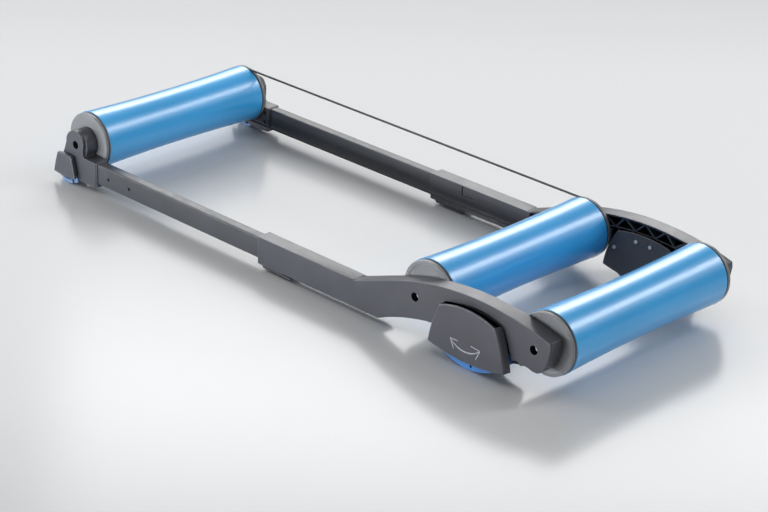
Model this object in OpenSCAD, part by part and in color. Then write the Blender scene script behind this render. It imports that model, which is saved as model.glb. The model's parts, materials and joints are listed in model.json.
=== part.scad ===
// Folding training rollers for a bicycle.
// Millimetres, +Z up. Origin on the floor, half way between the front and
// the rear end and half way between the two sides. The front roller is at
// -X, the belt side at +Y. Drawn out for use.

/* [Layout] */
// Front axle to middle axle, drawn out for use
reach = 882; // [874:1:890]
// Middle axle to rear axle
pair_gap = 258; // [254:1:264]
// Height of the three roller axles above the floor
axle_z = 78; // [77:0.5:80]

/* [Rollers] */
// Radius of a roller at its two ends
drum_r = 55; // [53.5:0.25:55.5]
// Radius of a roller at the middle of its length
waist_r = 51; // [49.5:0.25:52.5]
// Half length of the blue roller tube
drum_half = 189.4; // [188:0.2:190.4]
// Inner radius of the roller tube
tube_r = 47; // [45:0.25:48]
// Room for the belt in its groove, over the belt's own width
groove_room = 0.8; // [0.6:0.1:1.2]
// Radius of the flange of an end cap
flange_r = 54; // [53.2:0.2:55]
// Radius of the round drive belt
belt_r = 2; // [1.8:0.1:2.2]

/* [Axles] */
// Radius of the fixed axles
axle_r = 6; // [5:0.25:6.5]
// Outer radius of the ball bearings
bearing_r = 14; // [12.5:0.5:15]
// Width of the ball bearings
bearing_w = 8; // [6:0.5:9]
// Radius of the round recess that an axle bolt sits in
recess_r = 8; // [7:0.25:8.5]

/* [Frame] */
// Inner face of the arms, from the middle plane
side_in = 202; // [201.8:0.1:202.6]
// Outer face of the arms, from the middle plane
side_out = 230; // [229.8:0.1:230.4]
// Wall of the moulded arms
wall = 2.8; // [2.4:0.1:3.2]
// Rib thickness inside the arms
rib = 2.2; // [1.6:0.1:2.8]
// Number of pockets in the lattice under the back of an arm
lattice_n = 7; // [5:1:9]
// Width of a rail
rail_w = 20; // [18:0.5:20.4]
// Height of a rail
rail_h = 40; // [38:0.5:40.4]
// Wall of a rail
rail_wall = 1.5; // [1.2:0.1:2.2]
// Radius of the holes in a rail
rail_hole_r = 2.75; // [2:0.25:3.25]
// Distance between the two holes in a rail
rail_hole_gap = 59; // [50:1:66]

/* [Rockers] */
// Radius of the sole of a rear rocker
sole_r = 110; // [105:1:114]
// Half angle of the thin tips of a rear rocker
tip_angle = 50; // [46:1:51]
// Half angle of the wide part of a rear rocker
sole_angle = 36; // [30:1:37]
// Radius of the sole of a front rocker
front_sole_r = 60; // [56:1:64]
// Radius of the pins that the rear rockers swing on
pin_r = 5; // [4:0.25:5.5]
// Radius of the pins that the front rockers swing on
front_pin_r = 4; // [3:0.25:4.5]

/* [Foot covers] */
// How far the rear foot covers stand out from the arms
cover_stand = 16; // [14.5:0.25:16.5]
// How far the front foot covers stand out from the front blocks
front_cover_stand = 10; // [9.5:0.25:11]
// Wall of the foot covers
cover_wall = 2.5; // [2:0.1:2.8]

/* [Hidden] */
$fn = 64;

// Clearances, each used wherever two pieces meet in that way
run_fit = 0.05;
hole_fit = 0.05;
free_gap = 0.3;
eps = 0.01;

// Places along the object
x_front = -(reach + pair_gap) / 2;
x_mid = x_front + reach;
x_rear = x_mid + pair_gap;
x_pivot = pair_gap / 2;

// Rails, seen from the front axle and from the axle height
rail_in = 206.5;
rail_out = rail_in + rail_w;
rail_top = -21.5;
rail_low = rail_top - rail_h;
rail_start = 20;
rail_end = 655;
hole_x = 91;
hole_z = -43;

// Arms, seen from the middle axle and from the axle height
mouth = -378;
sleeve_top = -18;
sleeve_low = -68;
sleeve_end = -141;
back_r = 560;
back_c = [x_pivot + 5.4, 44.4 - back_r];
belly_r = 465;
belly_c = [108, -26.3 - belly_r];
skin = 2.5;
skin_in = side_out - skin;
cover_out = side_out + cover_stand;
front_cover_out = side_out + front_cover_stand;
channel_end = pair_gap - 33;
channel_top = sleeve_top - wall;
channel_low = sleeve_low + wall;
pocket_y = side_out - 14;
cheek_room = 204.2;
boss_r = 18.5;
hub_r = 11;

// Axle ends
axle_end = 213;
bolt_r = 3;
bolt_head_r = 5;
web_out = axle_end + 3;
cap_in = drum_half;
cap_out = 200;
lip = 0.3;
groove_w = 2 * belt_r + groove_room;
groove_out = cap_in + lip + groove_w;
groove_y = cap_in + lip + groove_w / 2;
groove_bed = drum_r - 2 * belt_r - 0.5;
belt_path = groove_bed + run_fit + belt_r;
bearing_out = 198;

// Rear rockers, seen from their pivot
sole_c = sole_r - axle_z;
crescent = 17;
shoe = 4;
shoe_angle = 13;
cheek_in0 = 198.5;
cheek_in1 = 203.5;
tip_in = side_out + free_gap;
tip_out = tip_in + 2;
sole_out = cover_out - cover_wall - 3.5;
hub_cheek_r = 10;
cover_back = tip_out + free_gap;
screw_r = 1.9;
screw_at = [[-61.5, -15], [-15.5, 9.4], [15.5, 9.4], [61.5, -15]];
post_r = 4;
panel_in = 195;
panel_out = 197.5;

// Front block, rocker and cover, seen from the front axle
front_pivot_z = 34;
front_pivot = [-18, front_pivot_z - axle_z];
front_sole_c = front_sole_r - front_pivot_z;
front_sole_angle = 27;
front_wide_angle = 14.5;
front_shoe = 5;
front_post_at = [[-30, -26.5], [-13, -26.5]];
block_wall_in = rail_in;
block_wall_out = 227;
front_tip_in = side_out + free_gap;
front_tip_out = front_tip_in + 2.8;
front_cover_back = front_tip_out + free_gap;
front_sole_out = front_cover_out - cover_wall - 0.5;
block_low = -59;
front_rocker_in = block_wall_in + 0.6;
front_rocker_out = block_wall_out - 0.5;

// Lock under the sleeve, seen from the middle axle
lock_x = mouth + 41.4;
lock_z = -65.3;
lock_pin_r = 1.5;
spring_x = lock_x + 27;
spring_r = 2.6;
wire_r = 0.45;
window_x0 = mouth + 6;
window_x1 = lock_x + 14;
window_in = 208.5;
window_out = 224.5;

function arc_points(c, r, a0, a1, n) =
    [for (i = [0:n]) c + r * [sin(a0 + (a1 - a0) * i / n), cos(a0 + (a1 - a0) * i / n)]];

// Helpers

module on_side(s) {
    mirror([0, s < 0 ? 1 : 0, 0])
        children();
}

module slab(y0, y1) {
    translate([0, y1, 0])
        rotate([90, 0, 0])
            linear_extrude(y1 - y0)
                children();
}

module rod(y0, y1, r) {
    translate([0, y0, 0])
        rotate([-90, 0, 0])
            cylinder(h = y1 - y0, r = r);
}

module spun() {
    rotate([-90, 0, 0])
        rotate_extrude($fn = 128)
            children();
}

module bar(p, q, w) {
    d = q - p;
    translate(p)
        rotate(atan2(d[1], d[0]))
            translate([0, -w / 2])
                square([norm(d), w]);
}

module soft_box(w, h, r) {
    hull()
        for (x = [r, w - r], y = [r, h - r])
            translate([x, y])
                circle(r = r, $fn = 32);
}

module at_mid() {
    translate([x_mid, 0, axle_z])
        children();
}

module at_pivot() {
    translate([x_mid + x_pivot, 0, axle_z])
        children();
}

module at_front() {
    translate([x_front, 0, axle_z])
        children();
}

module at_rear() {
    translate([x_rear, 0, axle_z])
        children();
}

// One arc of the rear foot cover as a disc, drafted towards the arm, its outer edge bevelled
module cover_disc(r, draft, edge) {
    rotate([-90, 0, 0]) {
        translate([0, 0, cover_back])
            cylinder(h = cover_out - edge - cover_back, r1 = r + draft, r2 = r);
        translate([0, 0, cover_out - edge])
            cylinder(h = edge, r1 = r, r2 = r - edge);
    }
}

module cover_sides(grow, draft, edge) {
    intersection() {
        translate([-181.6, 0, -98])
            cover_disc(269.5 + grow, draft, edge, $fn = 360);
        translate([181.6, 0, -98])
            cover_disc(269.5 + grow, draft, edge, $fn = 360);
    }
}

// Outline of the panel behind the rear foot cover, seen from the pivot: four arcs
module cover_shape(side = 0, top = 0, low = 0) {
    intersection() {
        translate([0, 24 - 231])
            circle(r = 231 + top, $fn = 360);
        translate([0, -65.4 + 339])
            circle(r = 339 + low, $fn = 480);
        translate([-73.2, -76.5])
            circle(r = 160 + side, $fn = 300);
        translate([73.2, -76.5])
            circle(r = 160 + side, $fn = 300);
    }
}

// Opening in the arm's outer face that the foot cover stands in front of
module pocket_shape(grow) {
    intersection() {
        translate([-6, 24 - 232])
            circle(r = 232 + grow, $fn = 360);
        translate([-73.2, -76.5])
            circle(r = 163.5 + grow, $fn = 300);
        translate([73.2, -76.5])
            circle(r = 163.5 + grow, $fn = 300);
        translate([-100, -120])
            square([200, 160]);
    }
}

// Arms

module arm_outline() {
    p = pair_gap;
    polygon(concat(
        [[mouth, sleeve_low]],
        arc_points(belly_c, belly_r, -24.4, 0, 10),
        [
            [p - 42.6, -34], [p - 36.6, -32], [p - 30.6, -31.8], [p - 26.6, -36.6],
            [p - 23.6, -36.3], [p - 17.6, -33.9], [p - 8.6, -35], [p - 0.6, -37],
            [p + 7.9, -37.4], [p + 15.9, -34], [p + 21.4, -28.6], [p + 25.4, -21],
            [p + 28.8, -11], [p + 32, 0.5], [p + 34.1, 13.4], [p + 33, 20.6]
        ],
        arc_points(back_c, back_r, 16.2, -20, 20),
        [[sleeve_end, -19.5], [sleeve_end - 3, sleeve_top], [mouth, sleeve_top]]
    ));
}

// Chord and zigzag under the back of the arm, the lattice seen between the rollers
module arm_lattice() {
    a0 = -17;
    span = 32;
    step = span / lattice_n;
    in_r = back_r - 21;
    top_r = back_r - wall / 2;
    foot = arc_points(back_c, in_r, a0, a0 + span, lattice_n);
    head = arc_points(back_c, top_r, a0 - step / 2, a0 + span + step / 2, lattice_n + 1);
    translate(back_c)
        intersection() {
            difference() {
                circle(r = in_r + rib / 2, $fn = 720);
                circle(r = in_r - rib / 2, $fn = 720);
            }
            polygon([
                [0, 0], 700 * [sin(a0 - 0.3), cos(a0 - 0.3)], [0, 900],
                700 * [sin(a0 + span + 0.3), cos(a0 + span + 0.3)]
            ]);
        }
    for (i = [0:lattice_n]) {
        bar(foot[i], head[i], rib * 1.3);
        bar(foot[i], head[i + 1], rib * 1.3);
    }
}

// Upright ribs between the lattice and the roof of the rail channel
module arm_ribs() {
    low = channel_top + rib / 2;
    for (x = [-124, -100, -76, -52, -30])
        bar([x, low], [x + 6, -19 + (x + 141) * 0.361], rib);
    for (x = [34, 52, 80, 104, 150, 174, 204])
        bar([x, low], [x, 20 - abs(x - 134) * 0.1], rib);
    bar([-120, low], [pair_gap - 14, low], rib);
}

module arm_body() {
    slab(skin_in, side_out)
        arm_outline();
    slab(side_in, skin_in)
        difference() {
            arm_outline();
            offset(delta = -wall)
                arm_outline();
        }
    slab(side_in, side_in + skin)
        translate([mouth, sleeve_low])
            square([sleeve_end - mouth + 6, sleeve_top - sleeve_low]);
    slab(side_in + 1, skin_in)
        intersection() {
            arm_outline();
            union() {
                arm_lattice();
                arm_ribs();
            }
        }
    slab(side_in, skin_in) {
        circle(r = boss_r);
        translate([pair_gap, 0])
            circle(r = boss_r);
    }
    slab(side_in + skin, skin_in)
        translate([mouth, sleeve_low])
            square([lock_x + 46 - mouth, 5.5]);
    // floor of the shallow pocket behind the foot cover
    slab(pocket_y - skin, pocket_y)
        intersection() {
            translate([x_pivot, 0])
                pocket_shape(3);
            translate([20, channel_top])
                square([pair_gap - 40, 60]);
        }
    slab(pocket_y, side_out)
        intersection() {
            translate([x_pivot, 0])
                pocket_shape(2.2);
            arm_outline();
        }
}

module arm_cuts() {
    // channel that the rail slides in
    translate([mouth - 1, side_in + skin, rail_low - 1])
        cube([sleeve_end - mouth + 8, skin_in - side_in - skin, channel_top - rail_low + 1]);
    translate([sleeve_end + 6, side_in - 1, rail_low - 1])
        cube([channel_end - sleeve_end - 6, skin_in - side_in + 1, channel_top - rail_low + 1]);
    // opening in the outer face that the foot cover stands in
    slab(pocket_y, side_out + 1)
        translate([x_pivot, 0])
            pocket_shape(0);
    slab(skin_in - 12, side_out + 1)
        intersection() {
            translate([x_pivot, 0])
                pocket_shape(0);
            translate([0, -80])
                square([pair_gap, 80 + channel_top]);
        }
    // room for the inner cheek of the rocker
    slab(side_in - 1, cheek_room)
        translate([x_pivot, 0])
            intersection() {
                circle(r = axle_z);
                translate([-axle_z, -axle_z - 2])
                    square([2 * axle_z, axle_z + 2 + 15]);
            }
    // axle seats and bolt recesses
    for (x = [0, pair_gap])
        translate([x, 0, 0]) {
            rod(side_in - 1, axle_end, axle_r + hole_fit);
            rod(axle_end - 1, web_out + 1, bolt_r + hole_fit);
            rod(web_out, side_out + 1, recess_r);
        }
    // parting groove round the rear nose
    slab(side_out - 3.2, side_out - 1.8)
        difference() {
            translate([pair_gap + 16, -50])
                square([34, 100]);
            offset(delta = -1.2)
                arm_outline();
        }
    // slot of the snap tongue in the inner wall of the sleeve
    translate([mouth + 78, side_in - 1, -37])
        cube([3, skin + 2, 17]);
    translate([mouth + 78, side_in - 1, -38.5])
        cube([35, skin + 2, 1.5]);
    // window, hinge and spring seat of the lock lever
    translate([window_x0, window_in, sleeve_low - 1])
        cube([window_x1 - window_x0, window_out - window_in, 10]);
    translate([lock_x, 0, lock_z])
        rod(side_in - 1, skin_in, lock_pin_r + hole_fit);
    translate([spring_x, (window_in + window_out) / 2, sleeve_low - 1])
        cylinder(h = 5, r = spring_r + wire_r + 0.4);
}

module arm(s) {
    color([0.29, 0.29, 0.33])
        on_side(s)
            at_mid()
                difference() {
                    union() {
                        difference() {
                            arm_body();
                            arm_cuts();
                        }
                        arm_hub();
                    }
                    arm_hub_holes();
                }
}

// Hub of the rocker pivot and the four columns that carry cover and panel
module arm_hub() {
    translate([x_pivot, 0, 0]) {
        rod(cheek_room, side_out - 0.2, hub_r);
        for (p = screw_at)
            translate([p[0], 0, p[1]])
                rod(cheek_room, pocket_y, post_r + 0.6);
    }
    slab(cheek_room, pocket_y - skin)
        translate([x_pivot, 0]) {
            bar([0, 0], [0, channel_top], rib);
            bar([0, 0], [-34, 22], rib);
            bar([0, 0], [34, 22], rib);
            bar([-61.5, -15], [-61.5, 18], rib);
            bar([61.5, -15], [61.5, 18], rib);
        }
}

module arm_hub_holes() {
    translate([x_pivot, 0, 0]) {
        rod(cheek_room - 1, side_out + 1, pin_r + 2);
        for (p = screw_at)
            translate([p[0], 0, p[1]])
                rod(cheek_room - 1, pocket_y + 1, screw_r + hole_fit);
    }
}

module arm_left() {
    arm(-1);
}

module arm_right() {
    arm(1);
}

module rocker_bush(s) {
    color([0.75, 0.62, 0.3])
        on_side(s)
            at_pivot()
                difference() {
                    rod(cheek_room, side_out - 0.2, pin_r + 2);
                    rod(cheek_room - 1, side_out + 1, pin_r);
                }
}

module rocker_bush_left() {
    rocker_bush(-1);
}

module rocker_bush_right() {
    rocker_bush(1);
}

module rocker_pin(s) {
    color([0.75, 0.76, 0.78])
        on_side(s)
            at_pivot()
                rod(panel_out, cover_out - cover_wall, pin_r);
}

module rocker_pin_left() {
    rocker_pin(-1);
}

module rocker_pin_right() {
    rocker_pin(1);
}

// Foot covers and panels at the rear

module foot_cover(s) {
    face = cover_out - cover_wall;
    color([0.32, 0.32, 0.36])
        on_side(s)
            at_pivot()
                difference() {
                    union() {
                        difference() {
                            intersection() {
                                cover_sides(0, 2, 2.5);
                                translate([0, 0, 28.6 - 165])
                                    cover_disc(165, 0, 1, $fn = 360);
                                translate([0, 0, 273.6])
                                    cover_disc(339, 0, 1, $fn = 480);
                            }
                            // hollow between the two side walls, open above and below
                            translate([0, -cover_wall, 0])
                                cover_sides(-cover_wall, 2, 0.4);
                        }
                        rod(sole_out + 0.4, face, pin_r + 3);
                        for (p = screw_at)
                            translate([p[0], 0, p[1]])
                                rod(pocket_y, face, post_r);
                    }
                    rod(sole_out, face, pin_r + hole_fit);
                    for (p = screw_at)
                        translate([p[0], 0, p[1]])
                            rod(pocket_y - 1, face - 2, screw_r + hole_fit);
                }
}

module foot_cover_left() {
    foot_cover(-1);
}

module foot_cover_right() {
    foot_cover(1);
}

module foot_panel(s) {
    color([0.27, 0.27, 0.3])
        on_side(s)
            at_pivot()
                difference() {
                    union() {
                        slab(panel_in, panel_out)
                            cover_shape();
                        for (p = screw_at)
                            translate([p[0], 0, p[1]])
                                rod(panel_out, cheek_room, post_r);
                    }
                    for (p = screw_at)
                        translate([p[0], 0, p[1]])
                            rod(panel_in - 1, cheek_room + 1, screw_r + hole_fit);
                }
}

module foot_panel_left() {
    foot_panel(-1);
}

module foot_panel_right() {
    foot_panel(1);
}

// One screw along Y, its head towards the middle of the object
module screw(y0, y1, r, head_r, head_h) {
    difference() {
        union() {
            rod(y0 - head_h, y0, head_r);
            rod(y0 - eps, y1, r);
        }
        translate([0, y0 - head_h - eps, 0])
            rotate([-90, 0, 0])
                cylinder(h = head_h * 0.6, r = head_r * 0.5, $fn = 6);
    }
}

module foot_screws(s) {
    color([0.8, 0.8, 0.82])
        on_side(s)
            at_pivot()
                for (p = screw_at)
                    translate([p[0], 0, p[1]])
                        screw(panel_in, cover_out - cover_wall - 7.5, screw_r, 3.2, 2.2);
}

module foot_screws_left() {
    foot_screws(-1);
}

module foot_screws_right() {
    foot_screws(1);
}

// Rear rockers

module sole_band(a, depth) {
    intersection() {
        translate([0, sole_c])
            difference() {
                circle(r = sole_r, $fn = 240);
                circle(r = sole_r - depth, $fn = 240);
            }
        translate([0, sole_c])
            polygon([[0, 0], [200 * tan(a), -200], [-200 * tan(a), -200]]);
    }
}

module cheek_shape(a) {
    sole_band(a, crescent);
    circle(r = hub_cheek_r);
    intersection() {
        polygon([[-9.8, 0], [9.8, 0], [21, -100], [-21, -100]]);
        translate([0, sole_c])
            circle(r = sole_r - crescent + 1, $fn = 240);
    }
}

module rocker(s) {
    color([0.15, 0.45, 0.85])
        on_side(s)
            at_pivot()
                difference() {
                    union() {
                        slab(cheek_in0, cheek_in1)
                            cheek_shape(sole_angle);
                        slab(tip_in, tip_out)
                            cheek_shape(tip_angle);
                        slab(tip_out, sole_out)
                            cheek_shape(sole_angle);
                        slab(cheek_in1, tip_in)
                            sole_band(shoe_angle, shoe);
                    }
                    rod(cheek_in0 - 1, sole_out + 1, pin_r + run_fit);
                    translate([8.4, 0, -70.7])
                        rod(sole_out - 8, sole_out + 1, 2.5);
                }
}

module rocker_left() {
    rocker(-1);
}

module rocker_right() {
    rocker(1);
}

// Rollers

module drum() {
    steps = 24;
    dip = drum_r - waist_r;
    color([0.35, 0.65, 0.9])
        spun()
            polygon(concat(
                [[tube_r, drum_half], [tube_r, -drum_half]],
                [
                    for (i = [0:steps])
                        let (t = 2 * i / steps - 1)
                        [waist_r + dip * t * t, t * drum_half]
                ]
            ));
}

// One end cap, outer face towards +Y
module cap() {
    difference() {
        spun()
            polygon([
                [bearing_r - 2, 178], [bearing_r + 4, 178], [bearing_r + 4, 192],
                [groove_bed - 6, 192], [groove_bed - 6, 166], [tube_r, 166],
                [tube_r, cap_in], [drum_r - 1, cap_in], [drum_r - 1, cap_in + lip],
                [groove_bed, cap_in + lip + 0.5], [groove_bed, groove_out - 0.5],
                [flange_r, groove_out], [flange_r, cap_out - 0.8], [flange_r - 0.8, cap_out],
                [flange_r - 7, cap_out], [flange_r - 7.8, cap_out - 1.2],
                [bearing_r, cap_out - 1.2], [bearing_r, bearing_out - bearing_w],
                [bearing_r - 2, bearing_out - bearing_w]
            ]);
    }
    for (a = [0:60:300])
        rotate([0, a, 0])
            translate([bearing_r + 3, 179, -1.2])
                cube([groove_bed - 6 - bearing_r - 2, 14, 2.4]);
}

module caps() {
    color([0.42, 0.44, 0.46])
        for (s = [-1, 1])
            on_side(s)
                cap();
}

module bearings() {
    color([0.7, 0.71, 0.73])
        for (s = [-1, 1])
            on_side(s)
                difference() {
                    rod(bearing_out - bearing_w, bearing_out, bearing_r);
                    rod(bearing_out - bearing_w - 1, bearing_out + 1, axle_r + run_fit);
                    spun()
                        translate([axle_r + 2.4, bearing_out - 0.5])
                            square([bearing_r - axle_r - 4.4, 1]);
                }
}

module axle() {
    color([0.62, 0.63, 0.65])
        difference() {
            rod(-axle_end, axle_end, axle_r);
            for (s = [-1, 1])
                on_side(s)
                    rod(axle_end - 17, axle_end + 1, bolt_r);
        }
}

module axle_bolts() {
    color([0.82, 0.83, 0.85])
        for (s = [-1, 1])
            on_side(s)
                difference() {
                    union() {
                        rod(axle_end - 16, web_out + eps, bolt_r);
                        rod(web_out, web_out + 4.5, bolt_head_r);
                    }
                    translate([0, web_out + 2, 0])
                        rotate([-90, 0, 0])
                            cylinder(h = 4, r = 2.6, $fn = 6);
                }
}

module spacers() {
    color([0.55, 0.56, 0.58])
        for (s = [-1, 1])
            on_side(s)
                difference() {
                    rod(bearing_out + free_gap, side_in, axle_r + 3);
                    rod(bearing_out, side_in + 1, axle_r);
                }
}

module drum_front() {
    at_front()
        drum();
}

module drum_middle() {
    at_mid()
        drum();
}

module drum_rear() {
    at_rear()
        drum();
}

module caps_front() {
    at_front()
        caps();
}

module caps_middle() {
    at_mid()
        caps();
}

module caps_rear() {
    at_rear()
        caps();
}

module bearings_front() {
    at_front()
        bearings();
}

module bearings_middle() {
    at_mid()
        bearings();
}

module bearings_rear() {
    at_rear()
        bearings();
}

module front_axle() {
    at_front()
        axle();
}

module middle_axle() {
    at_mid()
        axle();
}

module rear_axle() {
    at_rear()
        axle();
}

module rear_axle_bolts() {
    at_mid()
        axle_bolts();
    at_rear()
        axle_bolts();
}

module front_axle_bolts() {
    at_front()
        axle_bolts();
}

module rear_spacers() {
    at_mid()
        spacers();
    at_rear()
        spacers();
}

module front_spacers() {
    at_front()
        spacers();
}

// Round belt from the front to the middle roller, in the grooves at +Y
module drive_belt() {
    color([0.08, 0.08, 0.08])
        translate([0, groove_y, axle_z]) {
            for (s = [-1, 1])
                translate([x_front, 0, s * belt_path])
                    rotate([0, 90, 0])
                        cylinder(h = reach, r = belt_r, $fn = 24);
            translate([x_mid, 0, 0])
                belt_turn(-90);
            translate([x_front, 0, 0])
                belt_turn(90);
        }
}

module belt_turn(a) {
    rotate([90, 0, 0])
        rotate(a)
            rotate_extrude(angle = 180, $fn = 96)
                translate([belt_path, 0])
                    circle(r = belt_r, $fn = 24);
}

// Rails

module rail(s) {
    color([0.27, 0.28, 0.3])
        on_side(s)
            at_front()
                difference() {
                    translate([rail_start, rail_in, rail_low])
                        rotate([90, 0, 90])
                            linear_extrude(rail_end - rail_start)
                                difference() {
                                    soft_box(rail_w, rail_h, 2.5);
                                    translate([rail_wall, rail_wall])
                                        soft_box(rail_w - 2 * rail_wall, rail_h - 2 * rail_wall, 1.2);
                                }
                    for (x = [hole_x, hole_x + rail_hole_gap])
                        translate([x, 0, hole_z])
                            rod(rail_out - rail_wall - 1, rail_out + 1, rail_hole_r);
                    for (z = [-32, -51])
                        translate([48, 0, z])
                            rod(rail_in - 1, rail_in + rail_wall + 1, 2.5);
                }
}

module rail_left() {
    rail(-1);
}

module rail_right() {
    rail(1);
}

module rail_plug(s) {
    inner_w = rail_w - 2 * rail_wall;
    inner_h = rail_h - 2 * rail_wall;
    color([0.12, 0.12, 0.13])
        on_side(s)
            at_front()
                difference() {
                    union() {
                        translate([rail_end, rail_in, rail_low])
                            rotate([90, 0, 90])
                                linear_extrude(2.5)
                                    soft_box(rail_w, rail_h, 2.5);
                        translate([rail_end - 20, rail_in + rail_wall, rail_low + rail_wall])
                            rotate([90, 0, 90])
                                linear_extrude(20 + eps)
                                    soft_box(inner_w, inner_h, 1.2);
                    }
                    translate([rail_end - 21, rail_in + rail_wall + 2, rail_low + rail_wall + 2])
                        cube([20, inner_w - 4, inner_h - 4]);
                }
}

module rail_plug_left() {
    rail_plug(-1);
}

module rail_plug_right() {
    rail_plug(1);
}

// Glide in the mouth of the sleeve, open below for the lock pad
module rail_glide(s) {
    y0 = side_in + skin;
    y1 = skin_in;
    z0 = sleeve_low + 5.5;
    z1 = channel_top;
    color([0.1, 0.1, 0.11])
        on_side(s)
            at_mid()
                difference() {
                    translate([mouth + 1, y0, z0])
                        cube([34, y1 - y0, z1 - z0]);
                    translate([mouth, rail_in - free_gap, rail_low - free_gap])
                        cube([40, rail_w + 2 * free_gap, rail_h + 2 * free_gap]);
                    translate([mouth, window_in - 0.5, z0 - 1])
                        cube([40, window_out - window_in + 1, 10]);
                }
}

module rail_glide_left() {
    rail_glide(-1);
}

module rail_glide_right() {
    rail_glide(1);
}

// Lock levers under the sleeves

module lock_lever(s) {
    low = sleeve_low - 0.4;
    color([0.2, 0.2, 0.22])
        on_side(s)
            at_mid()
                difference() {
                    union() {
                        slab(side_in + 3, side_out - 1.5)
                            polygon([
                                [mouth + 0.5, low], [lock_x, low], [lock_x + 41, low - 3.3],
                                [lock_x + 41, low - 5], [lock_x + 38.5, low - 6.4],
                                [lock_x - 20, low - 5.2], [mouth + 13, low - 5.6],
                                [mouth + 9, low - 1.6], [mouth + 0.5, low - 1.4]
                            ]);
                        slab(window_in + 0.5, window_out - 0.5)
                            polygon([
                                [mouth + 8, low - 0.5], [mouth + 8, -64.2], [mouth + 26, -64.2],
                                [lock_x - 4, -63.4], [lock_x + 4, -63.4], [lock_x + 9, low - 1.5]
                            ]);
                    }
                    translate([lock_x, 0, lock_z])
                        rod(side_in, side_out, lock_pin_r + run_fit);
                    translate([spring_x, (window_in + window_out) / 2, low - 4])
                        cylinder(h = 5, r = spring_r + wire_r + 0.4);
                }
}

module lock_lever_left() {
    lock_lever(-1);
}

module lock_lever_right() {
    lock_lever(1);
}

module lock_pad(s) {
    color([0.06, 0.06, 0.06])
        on_side(s)
            at_mid()
                slab(window_in + 1, window_out - 1)
                    translate([mouth + 9, -64.2])
                        square([16, rail_low - free_gap + 64.2]);
}

module lock_pad_left() {
    lock_pad(-1);
}

module lock_pad_right() {
    lock_pad(1);
}

module lock_pin(s) {
    color([0.78, 0.79, 0.8])
        on_side(s)
            at_mid()
                translate([lock_x, 0, lock_z])
                    rod(side_in + 0.5, skin_in, lock_pin_r);
}

module lock_pin_left() {
    lock_pin(-1);
}

module lock_pin_right() {
    lock_pin(1);
}

// Coil spring between the sleeve and the rear end of the lever
module lock_spring(s) {
    turns = 4;
    steps = 18;
    sides = 8;
    z0 = sleeve_low - 0.4 - 4 + wire_r + 0.1;
    z1 = sleeve_low + 4 - wire_r;
    n = turns * steps;
    points = [
        for (i = [0:n], j = [0:sides - 1])
            let (
                a = 360 * i / steps,
                b = 360 * j / sides,
                r = spring_r + wire_r * cos(b)
            )
            [r * cos(a), r * sin(a), z0 + (z1 - z0) * i / n + wire_r * sin(b)]
    ];
    faces = concat(
        [[for (j = [0:sides - 1]) j]],
        [[for (j = [sides - 1:-1:0]) n * sides + j]],
        [
            for (i = [0:n - 1], j = [0:sides - 1])
                let (k = (j + 1) % sides)
                [i * sides + j, (i + 1) * sides + j, (i + 1) * sides + k, i * sides + k]
        ]
    );
    color([0.75, 0.76, 0.78])
        on_side(s)
            at_mid()
                translate([spring_x, (window_in + window_out) / 2, 0])
                    polyhedron(points = points, faces = faces, convexity = 6);
}

module lock_spring_left() {
    lock_spring(-1);
}

module lock_spring_right() {
    lock_spring(1);
}

// Front blocks

module block_outline() {
    circle(r = 28);
    polygon([
        [-27.5, 5], [-36, -22], [-49, -64], [-46, -66], [4, -66], [8, -69],
        [60, -69], [60, -20], [24, -20], [21, -17], [22.5, 16]
    ]);
}

// Outer plate of the ear, smaller than the drum-shaped boss behind it
module ear_outline() {
    translate([-2.5, 4.5])
        circle(r = 25);
    polygon([[-25.5, 6], [-35.6, -22], [-40, -34], [22, -34], [21.5, -17], [20, 5]]);
}

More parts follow.
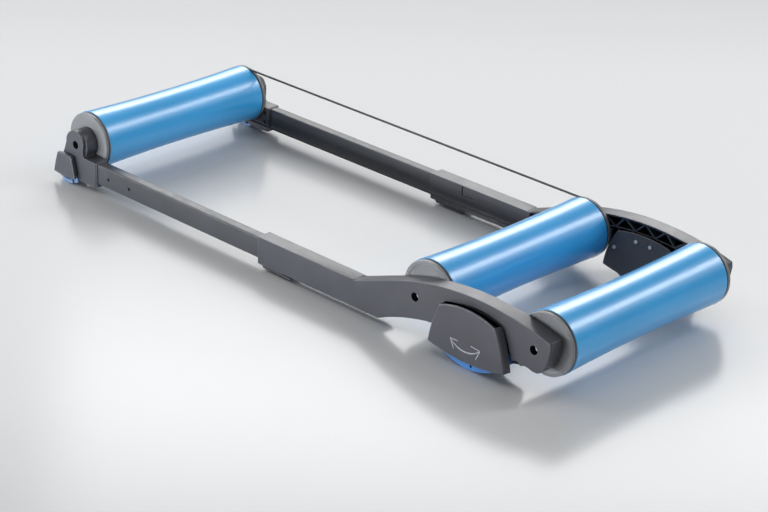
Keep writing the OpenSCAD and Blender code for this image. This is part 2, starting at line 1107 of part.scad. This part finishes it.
module front_block(s) {
    color([0.3, 0.3, 0.34])
        on_side(s)
            at_front()
                difference() {
                    union() {
                        difference() {
                            slab(side_in, side_out)
                                block_outline();
                            // step round the outer plate of the ear
                            slab(side_out - 4, side_out + 1)
                                difference() {
                                    translate([-50, -17])
                                        square([100, 60]);
                                    ear_outline();
                                }
                            slab(side_out - 5.4, side_out - 3.9)
                                difference() {
                                    translate([-50, -17])
                                        square([100, 60]);
                                    offset(delta = -1)
                                        ear_outline();
                                }
                            // hollow of the ear, open towards the roller
                            slab(side_in - 1, side_out - 7)
                                intersection() {
                                    offset(delta = -3)
                                        block_outline();
                                    translate([-60, -30])
                                        square([76.5, 80]);
                                }
                        }
                        slab(side_in, side_out - 5) {
                            circle(r = 14.5);
                            bar([0, 0], [-22, 14], rib);
                            bar([0, 0], [17, 18], rib);
                            bar([-6, -10], [-18, -31], rib);
                            bar([6, -10], [14, -31], rib);
                        }
                    }
                    rod(side_in - 1, axle_end, axle_r + hole_fit);
                    rod(axle_end - 1, web_out + 1, bolt_r + hole_fit);
                    rod(web_out, side_out + 1, recess_r);
                    // chamber of the front rocker, open below and in front
                    translate([-80, block_wall_in, -90])
                        cube([80 + 16.8, block_wall_out - block_wall_in, 90 - 33]);
                    translate([-80, block_wall_out - 1, -90])
                        cube([80 + 4, side_out - block_wall_out + 2, 90 + block_low]);
                    translate([rail_start, rail_in, rail_low])
                        rotate([90, 0, 90])
                            linear_extrude(60)
                                soft_box(rail_w, rail_h, 2.5);
                    translate([front_pivot[0], 0, front_pivot[1]])
                        rod(side_in - 1, side_out + 1, front_pin_r);
                    for (p = front_post_at)
                        translate([p[0], 0, p[1]])
                            union() {
                                rod(side_in - 1, side_out + 1, screw_r + hole_fit);
                                rod(side_in - 1, side_out - 4, 3.4);
                            }
                    for (z = [-32, -51])
                        translate([48, 0, z]) {
                            rod(side_in - 1, rail_in + 1, 2.5);
                            rod(side_in - 1, side_in + 2.5, 4.3);
                        }
                    // stepped end towards the rail
                    translate([57, 0, 0])
                        difference() {
                            translate([0, side_in - 1, -80])
                                cube([10, side_out - side_in + 2, 70]);
                            translate([-1, side_in + 1.6, -67.6])
                                cube([12, side_out - side_in - 3.2, 46.9]);
                        }
                }
}

module front_block_left() {
    front_block(-1);
}

module front_block_right() {
    front_block(1);
}

module front_cover_shape() {
    intersection() {
        polygon([[-42, -22.9], [-49.2, -43], [-54.3, -64.2], [-23.4, -67.5],
                 [7.6, -64.2], [3, -43], [-3.4, -22.9], [-22.7, -21.2]]);
        translate([-23, -45])
            circle(r = 60);
    }
}

module front_cover(s) {
    face = front_cover_out - cover_wall;
    color([0.33, 0.33, 0.37])
        on_side(s)
            at_front()
                difference() {
                    union() {
                        slab(face, front_cover_out)
                            front_cover_shape();
                        slab(front_cover_back, face)
                            difference() {
                                front_cover_shape();
                                offset(delta = -cover_wall)
                                    front_cover_shape();
                                translate([-70, -90])
                                    square([90, 90 + block_low]);
                            }
                        for (p = front_post_at)
                            translate([p[0], 0, p[1]])
                                rod(side_out, face, post_r);
                    }
                    slab(front_cover_out - 0.6, front_cover_out + 1)
                        difference() {
                            offset(delta = -1.8)
                                front_cover_shape();
                            offset(delta = -2.6)
                                front_cover_shape();
                        }
                    for (p = front_post_at)
                        translate([p[0], 0, p[1]])
                            rod(side_out - 1, face - 0.5, screw_r + hole_fit);
                }
}

module front_cover_left() {
    front_cover(-1);
}

module front_cover_right() {
    front_cover(1);
}

module front_cover_screws() {
    color([0.8, 0.8, 0.82])
        for (s = [-1, 1])
            on_side(s)
                at_front()
                    for (p = front_post_at)
                        translate([p[0], 0, p[1]])
                            screw(side_out - 4, front_cover_out - cover_wall - 1.5, screw_r, 3, 2);
}

module rail_bolts() {
    color([0.1, 0.1, 0.11])
        for (s = [-1, 1], z = [-32, -51])
            on_side(s)
                at_front()
                    translate([48, 0, z])
                        screw(side_in + 2.5, rail_in + rail_wall + 1, 2.45, 4, 2.4);
}

module front_pin(s) {
    color([0.75, 0.76, 0.78])
        on_side(s)
            at_front()
                translate([front_pivot[0], 0, front_pivot[1]])
                    rod(side_in + 0.5, side_out, front_pin_r);
}

module front_pin_left() {
    front_pin(-1);
}

module front_pin_right() {
    front_pin(1);
}

// Part of the front rocker's sole, a deg to each side, seen from its pivot
module front_band(a, depth) {
    translate([0, front_sole_c])
        intersection() {
            difference() {
                circle(r = front_sole_r, $fn = 192);
                circle(r = front_sole_r - depth, $fn = 192);
            }
            polygon([[0, 0], [100 * tan(a), -100], [-100 * tan(a), -100]]);
        }
}

module front_rocker(s) {
    color([0.15, 0.45, 0.85])
        on_side(s)
            at_front()
                translate([front_pivot[0], 0, front_pivot[1]])
                    difference() {
                        union() {
                            slab(front_rocker_in, front_rocker_out)
                                intersection() {
                                    translate([0, front_sole_c])
                                        circle(r = front_sole_r, $fn = 192);
                                    polygon([[-8, 3], [8, 3], [19, -22], [19, -60], [-19, -60], [-19, -22]]);
                                }
                            rod(front_rocker_in - 0.4, front_rocker_out + 0.2, 8.5);
                            slab(front_rocker_out - 1, front_tip_in)
                                front_band(11, front_shoe);
                            slab(front_tip_in, front_tip_out)
                                front_band(front_sole_angle, 12);
                            slab(front_tip_out, front_sole_out)
                                front_band(front_wide_angle, 7);
                        }
                        rod(side_in, side_out, front_pin_r + run_fit);
                        for (x = [-1, 1])
                            slab(front_rocker_in - 1, front_rocker_in + 7)
                                polygon([[x * 10, -9], [x * 15.5, -21], [x * 12, -27], [x * 4, -28.5], [x * 4, -13]]);
                    }
}

module front_rocker_left() {
    front_rocker(-1);
}

module front_rocker_right() {
    front_rocker(1);
}

arm_left();
arm_right();
rocker_bush_left();
rocker_bush_right();
rocker_pin_left();
rocker_pin_right();
foot_cover_left();
foot_cover_right();
foot_panel_left();
foot_panel_right();
foot_screws_left();
foot_screws_right();
rail_glide_left();
rail_glide_right();
lock_pin_left();
lock_pin_right();
lock_spring_left();
lock_spring_right();
middle_axle();
rear_axle();
rear_axle_bolts();
rear_spacers();
rocker_left();
rocker_right();
lock_lever_left();
lock_lever_right();
lock_pad_left();
lock_pad_right();
drum_middle();
caps_middle();
bearings_middle();
drum_rear();
caps_rear();
bearings_rear();
rail_left();
rail_right();
rail_plug_left();
rail_plug_right();
front_block_left();
front_block_right();
front_cover_left();
front_cover_right();
front_cover_screws();
rail_bolts();
front_axle();
front_axle_bolts();
front_spacers();
front_pin_left();
front_pin_right();
front_rocker_left();
front_rocker_right();
drum_front();
caps_front();
bearings_front();
drive_belt();
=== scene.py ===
"""Folding training rollers: materials, small details, studio and camera.

Everything is in metres in the frame of the CAD model: origin on the floor,
+X towards the two rear rollers, +Y towards the belt side, +Z up.
"""
import math

import bmesh
import bpy
from mathutils import Matrix, Vector
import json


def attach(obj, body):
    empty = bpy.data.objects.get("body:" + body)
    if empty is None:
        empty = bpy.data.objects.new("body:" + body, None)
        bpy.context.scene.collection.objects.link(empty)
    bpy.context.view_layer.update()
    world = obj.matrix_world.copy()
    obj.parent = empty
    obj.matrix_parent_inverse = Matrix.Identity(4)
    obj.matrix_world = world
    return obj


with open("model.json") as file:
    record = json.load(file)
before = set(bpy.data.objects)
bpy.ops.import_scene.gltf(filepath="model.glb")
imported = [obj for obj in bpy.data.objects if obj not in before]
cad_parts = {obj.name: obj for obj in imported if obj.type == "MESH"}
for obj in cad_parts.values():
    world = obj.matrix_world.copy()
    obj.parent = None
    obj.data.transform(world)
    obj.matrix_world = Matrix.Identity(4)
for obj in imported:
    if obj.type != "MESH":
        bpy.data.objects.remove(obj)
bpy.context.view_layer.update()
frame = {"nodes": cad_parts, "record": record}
nodes = frame["nodes"]

# Places on the CAD model, in metres
FRONT_X = -0.570    # the three roller axles
MIDDLE_X = 0.312
REAR_X = 0.570
AXLE_Z = 0.078
PIVOT_X = 0.441     # pivot of the rear rockers, at axle height
COVER_Y = 0.246     # outer face of a rear foot cover
SKIN_Y = 0.2299     # just under the outer face of the arms and front blocks
RECESS_Y = 0.2125   # floor of an axle bolt's recess, and its radius
RECESS_R = 0.0083
POCKET_Y = 0.2055   # floor of the pocket behind a rear foot cover
BEARING_Y = 0.198   # outer face of the ball bearings
SIDES = {"left": -1, "right": 1}


# Materials

def srgb(r, g, b):
    """A display colour, 0 to 1, as linear values with alpha."""
    def lin(c):
        return c / 12.92 if c <= 0.04045 else ((c + 0.055) / 1.055) ** 2.4
    return (lin(r), lin(g), lin(b), 1.0)


class Shade:
    """A Principled material with a few helpers for its procedural nodes."""

    def __init__(self, name):
        self.mat = bpy.data.materials.new(name)
        self.mat.use_nodes = True
        self.tree = self.mat.node_tree
        self.bsdf = self.tree.nodes["Principled BSDF"]
        self.coords = self.new("ShaderNodeTexCoord")
        self.height = None

    def new(self, kind, **values):
        node = self.tree.nodes.new(kind)
        for key, value in values.items():
            setattr(node, key, value)
        return node

    def link(self, a, b):
        self.tree.links.new(a, b)

    def set(self, name, value):
        self.bsdf.inputs[name].default_value = value

    def mapped(self, scale):
        node = self.new("ShaderNodeMapping")
        node.inputs["Scale"].default_value = scale
        self.link(self.coords.outputs["Object"], node.inputs["Vector"])
        return node.outputs["Vector"]

    def noise(self, scale, detail=3.0, rough=0.55, stretch=None):
        node = self.new("ShaderNodeTexNoise")
        node.inputs["Scale"].default_value = scale
        node.inputs["Detail"].default_value = detail
        node.inputs["Roughness"].default_value = rough
        if stretch:
            self.link(self.mapped(stretch), node.inputs["Vector"])
        else:
            self.link(self.coords.outputs["Object"], node.inputs["Vector"])
        return node.outputs["Fac"]

    def ramp(self, fac, stops):
        """Evenly spread colours over the middle of a noise's range."""
        lo, hi = 0.3, 0.7
        node = self.new("ShaderNodeValToRGB")
        ramp = node.color_ramp
        ramp.elements[0].position = lo
        ramp.elements[0].color = stops[0]
        ramp.elements[1].position = hi
        ramp.elements[1].color = stops[-1]
        for i, colour in enumerate(stops[1:-1], 1):
            e = ramp.elements.new(lo + (hi - lo) * i / (len(stops) - 1))
            e.color = colour
        self.link(fac, node.inputs["Fac"])
        return node.outputs["Color"]

    def span(self, fac, lo, hi, a=0.25, b=0.75):
        """Maps a to b onto lo to hi, clamped."""
        node = self.new("ShaderNodeMapRange")
        node.inputs["From Min"].default_value = a
        node.inputs["From Max"].default_value = b
        node.inputs["To Min"].default_value = lo
        node.inputs["To Max"].default_value = hi
        self.link(fac, node.inputs["Value"])
        return node.outputs["Result"]

    def bump(self, fac, strength, distance):
        node = self.new("ShaderNodeBump")
        node.inputs["Strength"].default_value = strength
        node.inputs["Distance"].default_value = distance
        self.link(fac, node.inputs["Height"])
        if self.height:
            self.link(self.height, node.inputs["Normal"])
        self.height = node.outputs["Normal"]
        self.link(self.height, self.bsdf.inputs["Normal"])

    def edges(self, radius):
        """From 0 on a flat to about 1 on an outer or inner edge, for the painted highlight
        there.
        """
        geometry = self.new("ShaderNodeNewGeometry")
        bevel = self.new("ShaderNodeBevel", samples=4)
        bevel.inputs["Radius"].default_value = radius
        dot = self.new("ShaderNodeVectorMath", operation="DOT_PRODUCT")
        self.link(geometry.outputs["Normal"], dot.inputs[0])
        self.link(bevel.outputs["Normal"], dot.inputs[1])
        self.height = bevel.outputs["Normal"]
        return self.span(dot.outputs["Value"], 1.0, 0.0, 0.75, 0.985)

    def highlight_edges(self, base, edge, stops, k):
        """Colour of the flats, with a painted highlight that lightens it along the edges."""
        mix = self.new("ShaderNodeMix", data_type="RGBA")
        self.link(edge, mix.inputs["Factor"])
        self.link(self.ramp(base, stops), mix.inputs["A"])
        mix.inputs["B"].default_value = shift(stops[-1], k)
        self.colour(mix.outputs["Result"])

    def colour(self, out):
        self.link(out, self.bsdf.inputs["Base Color"])

    def rough(self, out):
        self.link(out, self.bsdf.inputs["Roughness"])


def shift(c, k):
    """The colour c, k times as bright."""
    return (min(1, c[0] * k), min(1, c[1] * k), min(1, c[2] * k), 1.0)


def moulded(name, base, lo, hi, grain=0.0006, specular=0.65):
    """Moulded plastic: fine spark-eroded grain, slow flow marks, uneven sheen, and a painted
    highlight along the edges.
    """
    s = Shade(name)
    stops = [shift(base, 0.9), base, shift(base, 1.12)]
    # painted highlight: the colour is up to 3.2 times lighter along every edge
    s.highlight_edges(s.noise(9.0, 4.0), s.edges(0.002), stops, 3.2)
    s.rough(s.span(s.noise(34.0, 5.0, 0.6), lo, hi))
    s.set("Specular IOR Level", specular)
    s.bump(s.noise(1400.0, 2.0, 0.5), 0.25, grain)
    s.bump(s.noise(60.0, 2.0, 0.5), 0.06, 0.001)
    return s.mat


def roller_blue():
    """Glossy blue tube: faint rings from turning under a clear gloss."""
    s = Shade("roller_blue")
    base = srgb(0.25, 0.71, 0.98)
    s.colour(s.ramp(s.noise(7.0, 3.0), [shift(base, 0.94), base, shift(base, 1.06)]))
    rings = s.noise(30.0, 1.0, 0.5, stretch=(0.3, 8.0, 0.3))
    s.rough(s.span(rings, 0.28, 0.32))
    s.set("Specular IOR Level", 0.7)
    s.set("Coat Weight", 0.7)
    s.set("Coat Roughness", 0.17)
    s.bump(s.noise(900.0, 1.0), 0.04, 0.0002)
    return s.mat


def rocker_blue(name, base):
    """Moulded blue of the rockers, a little glossy."""
    s = Shade(name)
    s.colour(s.ramp(s.noise(22.0, 3.0), [shift(base, 0.9), base, shift(base, 1.1)]))
    s.rough(s.span(s.noise(60.0, 4.0), 0.3, 0.46))
    s.set("Coat Weight", 0.2)
    s.set("Coat Roughness", 0.25)
    s.bump(s.noise(1300.0, 2.0), 0.18, 0.0004)
    return s.mat


def painted_steel(name, base, lo=0.3, hi=0.44):
    """Powder-coated steel: orange peel and a few brighter scuffs."""
    s = Shade(name)
    s.colour(s.ramp(s.noise(12.0, 5.0), [shift(base, 0.88), base, shift(base, 1.15)]))
    s.rough(s.span(s.noise(80.0, 4.0), lo, hi))
    s.set("Specular IOR Level", 0.6)
    s.bump(s.noise(520.0, 2.0), 0.12, 0.0005)
    return s.mat


def metal(name, base, lo, hi, metallic=1.0):
    """Turned or drawn metal with a lengthwise brush; less metallic where it is zinc plated, and
    there its near-white base is a painted reflection.
    """
    s = Shade(name)
    brush = s.noise(40.0, 5.0, 0.6, stretch=(1.0, 30.0, 30.0))
    s.colour(s.ramp(brush, [shift(base, 0.85), base, shift(base, 1.08)]))
    s.rough(s.span(brush, lo, hi))
    s.set("Metallic", metallic)
    s.bump(brush, 0.04, 0.0003)
    return s.mat


def rubber(name, base, lo=0.55, hi=0.8):
    """Black rubber: coarse mottling, matt with a fine grain."""
    s = Shade(name)
    s.colour(s.ramp(s.noise(70.0, 4.0), [shift(base, 0.75), base, shift(base, 1.4)]))
    s.rough(s.span(s.noise(140.0, 3.0), lo, hi))
    s.set("Specular IOR Level", 0.35)
    s.bump(s.noise(1500.0, 2.0), 0.2, 0.0004)
    return s.mat


DARK = srgb(0.285, 0.29, 0.315)
MATS = {
    "arm_plastic": moulded("arm_plastic", DARK, 0.28, 0.4),
    "cover_plastic": moulded("cover_plastic", srgb(0.29, 0.295, 0.32), 0.28, 0.4),
    "black_plastic": moulded("black_plastic", srgb(0.19, 0.19, 0.195), 0.4, 0.55),
    "cap_plastic": moulded("cap_plastic", srgb(0.495, 0.5, 0.51), 0.32, 0.46, grain=0.0004),
    "rocker_blue": rocker_blue("rocker_blue", srgb(0.27, 0.5, 0.76)),
    "roller_blue": roller_blue(),
    "rail_paint": painted_steel("rail_paint", srgb(0.26, 0.268, 0.285)),
    "belt_rubber": rubber("belt_rubber", srgb(0.24, 0.24, 0.24), 0.4, 0.55),
    "pad_rubber": rubber("pad_rubber", srgb(0.09, 0.09, 0.09)),
    "bush_bronze": metal("bush_bronze", srgb(0.72, 0.6, 0.36), 0.3, 0.45),
    "pin_steel": metal("pin_steel", srgb(0.5, 0.51, 0.53), 0.26, 0.4),
    # painted reflection: the near-white, hardly metallic base makes the screws bright under
    # diffuse light in place of the glints of plated steel
    "bright_steel": metal("bright_steel", srgb(0.98, 0.98, 0.98), 0.3, 0.45, metallic=0.1),
    "bearing_steel": metal("bearing_steel", srgb(0.74, 0.745, 0.76), 0.2, 0.34),
    "black_steel": painted_steel("black_steel", srgb(0.1, 0.1, 0.11), 0.34, 0.5),
}
# painted shade: near-black colour for the insides of the axle bolt recesses and of the pocket
# behind each rear foot cover
SHADOW = moulded("painted_recess_shade", srgb(0.07, 0.07, 0.075), 0.6, 0.75, specular=0.2)
PRINT = moulded("print_grey", srgb(0.76, 0.76, 0.78), 0.45, 0.6, grain=0.0002)
PANEL = moulded("panel_plastic", srgb(0.37, 0.36, 0.365), 0.34, 0.46)
# painted shade: a paler, greyer copy of the rocker blue for the front rockers, which sit low in
# the shade
SHADED_ROCKER_BLUE = rocker_blue("rocker_painted_shade_blue", srgb(0.44, 0.54, 0.68))


def dress(obj, material):
    """Gives the whole piece one material."""
    obj.data.materials.clear()
    obj.data.materials.append(material)
    for poly in obj.data.polygons:
        poly.material_index = 0


SHARP = math.radians(30.0)  # edges of a larger angle count as edges
WELD = 0.000002             # reach that joins the vertices of neighbouring CAD faces


def soften(obj, bevel):
    """Joins the split vertices of a CAD node, rounds its edges and shades it smooth."""
    for poly in obj.data.polygons:
        poly.use_smooth = True
    weld = obj.modifiers.new("weld", "WELD")
    weld.merge_threshold = WELD
    if bevel:
        mod = obj.modifiers.new("bevel", "BEVEL")
        mod.width = bevel
        mod.segments = 2
        mod.limit_method = "ANGLE"
        mod.angle_limit = SHARP
        flat = obj.modifiers.new("flat", "WEIGHTED_NORMAL")
        flat.weight = 100
    else:
        split = obj.modifiers.new("split", "EDGE_SPLIT")
        split.split_angle = SHARP


# Edge rounding of each node's mesh, in metres
ROUND = {
    "foot_panel": 0.0005, "foot_cover": 0.0004, "front_cover": 0.0005,
    "lock_lever": 0.0005, "lock_pad": 0.0004, "rocker_left": 0.0004, "rocker_right": 0.0004,
    "rail_plug": 0.0004, "rail_glide": 0.0003, "caps": 0.0004, "bearings": 0.0002,
}

# Kinds of node that don't take the material of their slot: the foot panels have their own grey,
# and the front rockers a paler, greyer blue that is painted shade
OWN_FINISH_AND_SHADE = {"front_rocker": SHADED_ROCKER_BLUE, "foot_panel": PANEL}

slot_of = {s["node"]: s["material_slot"] for s in frame["record"]["subparts"]}
for name, obj in nodes.items():
    kind = name.rsplit("_", 1)[0]
    dress(obj, OWN_FINISH_AND_SHADE.get(kind, MATS[slot_of[name]]))
    soften(obj, next((v for k, v in ROUND.items() if name.startswith(k)), 0.0))


def darken(obj, inside):
    """Paints shade: gives the faces whose middle is inside the stated space a near-black colour
    standing in for the shade of a recess.
    """
    obj.data.materials.append(SHADOW)
    last = len(obj.data.materials) - 1
    for poly in obj.data.polygons:
        if inside(poly.center):
            poly.material_index = last


def in_bolt_recess(p, x):
    return math.hypot(p.x - x, p.z - AXLE_Z) < RECESS_R and RECESS_Y < abs(p.y) < SKIN_Y


def in_arm_recess(p):
    """Either bolt recess of an arm, or the pocket behind its foot cover."""
    pocket_half, pocket_below, pocket_above = 0.088, 0.05, 0.0285
    return (in_bolt_recess(p, MIDDLE_X) or in_bolt_recess(p, REAR_X)
            or (abs(p.x - PIVOT_X) < pocket_half and POCKET_Y < abs(p.y) < SKIN_Y
                and AXLE_Z - pocket_below < p.z < AXLE_Z + pocket_above))


def in_block_recess(p):
    return in_bolt_recess(p, FRONT_X)


# paint shade into the bolt recesses of the front blocks and arms, and into the pockets behind
# the foot covers
for side in SIDES:
    darken(nodes["front_block_" + side], in_block_recess)
    darken(nodes["arm_" + side], in_arm_recess)


# Small pieces that the CAD model leaves out


def piece(name, bm, material, body):
    """Makes an object from bm that rides on the body and has the material slot."""
    mesh = bpy.data.meshes.new(name)
    bmesh.ops.recalc_face_normals(bm, faces=bm.faces)
    bm.to_mesh(mesh)
    bm.free()
    mesh.materials.append(material)
    obj = bpy.data.objects.new(name, mesh)
    bpy.context.scene.collection.objects.link(obj)
    for poly in mesh.polygons:
        poly.use_smooth = True
    split = obj.modifiers.new("split", "EDGE_SPLIT")
    split.split_angle = math.radians(35)
    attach(obj, body)


def ribbon(bm, points, widths, y, rise):
    """A flat raised line in an XZ plane through the points, rise thick towards the outside."""
    rows = []
    for i, (x, z) in enumerate(points):
        before, after = points[max(i - 1, 0)], points[min(i + 1, len(points) - 1)]
        dx, dz = after[0] - before[0], after[1] - before[1]
        k = widths[i] / 2 / math.hypot(dx, dz)
        rows.append([bm.verts.new((x + s * dz * k, y + up * rise, z - s * dx * k))
                     for s, up in ((-1, 0), (-0.8, 1), (0.8, 1), (1, 0))])
    for a, b in zip(rows, rows[1:]):
        for j in range(4):
            k = (j + 1) % 4
            bm.faces.new((a[j], a[k], b[k], b[j]))
    bm.faces.new(rows[0][::-1])
    bm.faces.new(rows[-1])


MARK_R = 0.046                      # radius of the arrow's bow about the rocker's pivot
MARK_START, MARK_TURN = -46, 90     # degrees from straight down
MARK_STEPS = 28
MARK_RISE = 0.00012
# ends of the two barbs at either end of the bow, in mm from the pivot
MARK_BARBS = {0: ((-15.8, -32.1), (-24.8, -48.8)), MARK_STEPS: ((11.4, -31.2), (22.8, -51.1))}


def swing_mark(side, s):
    """The double-headed curved arrow on a rear foot cover."""
    bm = bmesh.new()
    steps = range(MARK_STEPS + 1)
    turn = [math.radians(MARK_START + MARK_TURN * i / MARK_STEPS) for i in steps]
    arc = [(PIVOT_X + MARK_R * math.sin(a), AXLE_Z - MARK_R * math.cos(a)) for a in turn]
    widths = [0.0014 + 0.0015 * math.sin(math.pi * i / MARK_STEPS) for i in steps]
    ribbon(bm, arc, widths, s * COVER_Y, s * MARK_RISE)
    barb_widths, barb_lift = [0.0017, 0.0013], 0.00002
    for i, ends in MARK_BARBS.items():
        for x, z in ends:
            ribbon(bm, [arc[i], (PIVOT_X + x / 1000, AXLE_Z + z / 1000)], barb_widths,
                   s * (COVER_Y + barb_lift), s * MARK_RISE)
    piece("swing_mark_" + side, bm, PRINT, "rear_frame")


def ring(bm, centre, profile, count=48):
    """A profile of (radius, y) points turned round an axis along Y."""
    rows = []
    for i in range(count):
        a = 2 * math.pi * i / count
        rows.append([bm.verts.new((centre[0] + r * math.cos(a), y, centre[1] + r * math.sin(a)))
                     for r, y in profile])
    for i in range(count):
        a, b = rows[i], rows[(i + 1) % count]
        for j in range(len(profile)):
            k = (j + 1) % len(profile)
            bm.faces.new((a[j], a[k], b[k], b[j]))


# Section of a bearing seal with its lips: radius, and rise above the bearing's outer face
SEAL = ((0.0085, -0.0004), (0.0085, -0.0001), (0.0091, 0.00005), (0.0098, -0.0002),
        (0.0109, -0.0002), (0.0115, 0.0), (0.0119, -0.0001), (0.0119, -0.0004))


def bearing_seals(roller, x):
    """Rubber seals in the grooves of a roller's two ball bearings."""
    bm = bmesh.new()
    for s in SIDES.values():
        ring(bm, (x, AXLE_Z), [(r, s * (BEARING_Y + rise)) for r, rise in SEAL])
    piece("bearing_seals_" + roller, bm, MATS["pad_rubber"], "roller_" + roller)


GRIP_COUNT = 5
GRIP_PITCH = 0.004
GRIP_ENDS = (0.2075, 0.2262)    # from one edge of the lever to the other, along Y
# section of a finger rib: along X, and up from the lever's underside
GRIP = ((-0.0009, 0.0004), (-0.0004, -0.0005), (0.0004, -0.0005), (0.0009, 0.0004))


def lever_grips(side, s):
    """Finger ribs across the underside of a lock lever's free end."""
    bm = bmesh.new()
    first_x = MIDDLE_X - 0.378 + 0.0414 + 0.0185
    first_z = AXLE_Z - 0.0684 - 0.0061 - 0.000022 * 18
    drop = 0.000022 * 4     # the underside slopes down towards the free end
    for i in range(GRIP_COUNT):
        x, z = first_x + GRIP_PITCH * i, first_z - drop * i
        ends = [[bm.verts.new((x + dx, s * y, z + dz)) for dx, dz in GRIP] for y in GRIP_ENDS]
        for j in range(4):
            k = (j + 1) % 4
            bm.faces.new((ends[0][j], ends[0][k], ends[1][k], ends[1][j]))
        bm.faces.new(ends[0][::-1])
        bm.faces.new(ends[1])
    piece("lever_grips_" + side, bm, MATS["black_plastic"], "lock_" + side)


for side, s in SIDES.items():
    swing_mark(side, s)
    lever_grips(side, s)
for roller, x in (("front", FRONT_X), ("middle", MIDDLE_X), ("rear", REAR_X)):
    bearing_seals(roller, x)


# Studio

FLOOR_HALF = 14.0
FLOOR_Z = -0.0003
FLOOR_TONES = (srgb(0.865, 0.87, 0.875), srgb(0.76, 0.765, 0.77))
# the floor darkens a little towards the far lights, which would bleach it
TONE_WAY = (-0.698, 0.716, 0.0)
TONE_FROM, TONE_TO = -0.6, 1.2


def floor_material():
    mat = bpy.data.materials.new("studio_floor")
    mat.use_nodes = True
    tree = mat.node_tree
    bsdf = tree.nodes["Principled BSDF"]
    coords = tree.nodes.new("ShaderNodeTexCoord")
    along = tree.nodes.new("ShaderNodeVectorMath")
    along.operation = "DOT_PRODUCT"
    along.inputs[1].default_value = TONE_WAY
    tone = tree.nodes.new("ShaderNodeMapRange")
    tone.inputs["From Min"].default_value = TONE_FROM
    tone.inputs["From Max"].default_value = TONE_TO
    mix = tree.nodes.new("ShaderNodeMix")
    mix.data_type = "RGBA"
    mix.inputs["A"].default_value, mix.inputs["B"].default_value = FLOOR_TONES
    tree.links.new(coords.outputs["Object"], along.inputs[0])
    tree.links.new(along.outputs["Value"], tone.inputs["Value"])
    tree.links.new(tone.outputs["Result"], mix.inputs["Factor"])
    tree.links.new(mix.outputs["Result"], bsdf.inputs["Base Color"])
    bsdf.inputs["Roughness"].default_value = 0.2
    bsdf.inputs["Specular IOR Level"].default_value = 0.22
    return mat


def build_floor():
    mesh = bpy.data.meshes.new("studio_floor")
    bm = bmesh.new()
    for x, y in ((-1, -1), (1, -1), (1, 1), (-1, 1)):
        bm.verts.new((x * FLOOR_HALF, y * FLOOR_HALF, FLOOR_Z))
    bm.faces.new(bm.verts)
    bm.to_mesh(mesh)
    bm.free()
    mesh.materials.append(floor_material())
    floor = bpy.data.objects.new("studio_floor", mesh)
    bpy.context.scene.collection.objects.link(floor)


def build_world():
    world = bpy.data.worlds.new("studio")
    bpy.context.scene.world = world
    world.use_nodes = True
    soft = world.node_tree.nodes["Background"]
    soft.inputs["Color"].default_value = (0.97, 0.985, 1.0, 1.0)
    soft.inputs["Strength"].default_value = 0.09


def area(name, place, look_at, size, power, colour=(1.0, 1.0, 1.0)):
    """A rectangular light of so many metres and watts."""
    data = bpy.data.lights.new(name, "AREA")
    data.shape = "RECTANGLE"
    data.size, data.size_y = size
    data.energy = power
    data.color = colour
    obj = bpy.data.objects.new(name, data)
    bpy.context.scene.collection.objects.link(obj)
    obj.location = place
    aim = Vector(look_at) - Vector(place)
    obj.rotation_euler = aim.to_track_quat("-Z", "Y").to_euler()


build_floor()
build_world()
# two long strips on the far side make the two streaks along each roller
area("strip_top", (-1.9, 2.75, 2.3), (0.0, 0.4, 0.1), (3.4, 0.8), 52)
area("strip_side", (2.1, 3.0, 2.7), (0.2, 0.4, 0.1), (0.6, 3.6), 64)
# broad pale walls far off on the left light the upward faces at a low angle
area("far_wall", (-3.6, 3.8, 2.3), (0.0, 0.0, 0.05), (4.6, 2.0), 74)
area("left_wall", (-4.6, 0.2, 2.0), (0.0, 0.0, 0.05), (3.6, 2.0), 66)
# a weak ceiling and a weak right wall fill the shadows
area("overhead", (0.2, -0.2, 3.4), (0.1, 0.0, 0.0), (3.2, 2.6), 21)
area("right_fill", (3.4, 0.6, 0.9), (0.3, 0.0, 0.05), (2.2, 1.2), 15)
# a small one high on the near left catches the upper edges
area("edge_left", (-3.3, -2.2, 3.2), (0.0, 0.0, 0.0), (1.6, 1.6), 36)
# a long low strip lights the near faces; the near rail keeps it off the far ones
area("near_strip", (-0.8, -2.1, 0.085), (-0.3, 0.0, 0.05), (2.6, 0.12), 47,
     colour=(0.93, 0.96, 1.0))


# Camera

CAMERA_PLACE = (2.683725, -2.736893, 1.721409)
CAMERA_TURN = (44.274, 24.487, 1.638)   # azimuth, elevation and roll in degrees
FOCAL_PIXELS = 2354.70                  # for a picture 768 pixels wide
PICTURE_WIDTH = 768
SENSOR_WIDTH = 36.0


def build_camera():
    az, el, roll = (math.radians(a) for a in CAMERA_TURN)
    back = Vector((math.sin(az) * math.cos(el), -math.cos(az) * math.cos(el), math.sin(el)))
    level = Vector((math.cos(az), math.sin(az), 0.0))
    rise = back.cross(level)
    right = level * math.cos(roll) + rise * math.sin(roll)
    up = rise * math.cos(roll) - level * math.sin(roll)
    turn = Matrix((right, up, back)).transposed().to_4x4()
    data = bpy.data.cameras.new("camera")
    data.sensor_width = SENSOR_WIDTH
    data.lens = FOCAL_PIXELS / PICTURE_WIDTH * SENSOR_WIDTH
    data.clip_end = 100.0
    cam = bpy.data.objects.new("camera", data)
    bpy.context.scene.collection.objects.link(cam)
    cam.matrix_world = Matrix.Translation(Vector(CAMERA_PLACE)) @ turn
    bpy.context.scene.camera = cam


build_camera()
bpy.context.scene.view_settings.view_transform = "Standard"
